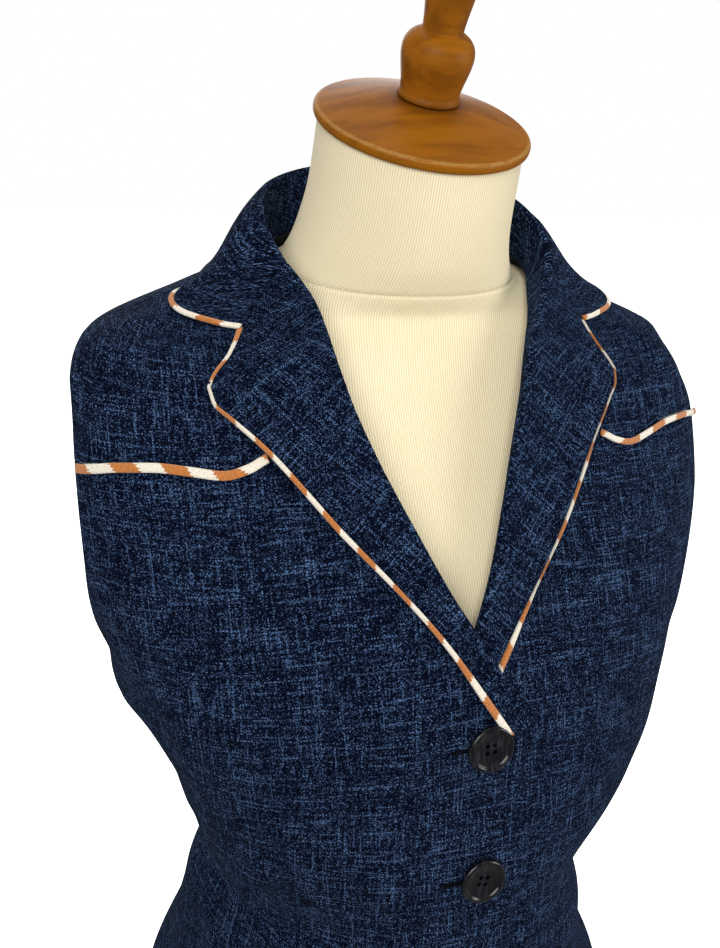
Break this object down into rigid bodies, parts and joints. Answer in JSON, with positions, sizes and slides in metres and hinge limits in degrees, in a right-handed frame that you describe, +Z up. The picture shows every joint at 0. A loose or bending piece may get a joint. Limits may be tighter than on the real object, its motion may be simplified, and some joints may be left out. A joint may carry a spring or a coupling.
{
  "type": "western vest on a limbless dress form",
  "caption": "Fitted sleeveless western vest with notched lapels, a folded collar, piped curved front yokes and a buttoned front, worn by a limbless dress form with a turned wooden neck finial.",
  "frame": {"origin": "middle of the flat underside of the dress form's base board, below the centre of the body", "axes": "+Z up along the body, the front faces -Y, +X towards the wearer's left"},
  "size_m": [0.3812, 0.2729, 0.837],
  "materials": {
    "vest_cloth": "matt slubbed weave, navy and black",
    "piping": "woven piping in alternate tan and cream blocks",
    "button": "polished dark horn effect",
    "form_jersey": "fine ribbed cream jersey, stretched",
    "form_wood": "honey-brown varnish, satin"
  },
  "bodies": {
    "root": {"front_left": "vest_cloth", "front_right": "vest_cloth", "yoke_left": "vest_cloth", "yoke_right": "vest_cloth", "back_left": "vest_cloth", "back_right": "vest_cloth", "lapel_left": "vest_cloth", "lapel_right": "vest_cloth", "collar": "vest_cloth", "collar_piping": "piping", "lapel_piping_left": "piping", "lapel_piping_right": "piping", "yoke_piping_left": "piping", "yoke_piping_right": "piping", "button_1": "button", "button_2": "button", "button_3": "button", "form_torso": "form_jersey", "form_base": "form_wood", "form_neck_cap": "form_wood", "form_neck_finial": "form_wood"}
  },
  "joints": []
}
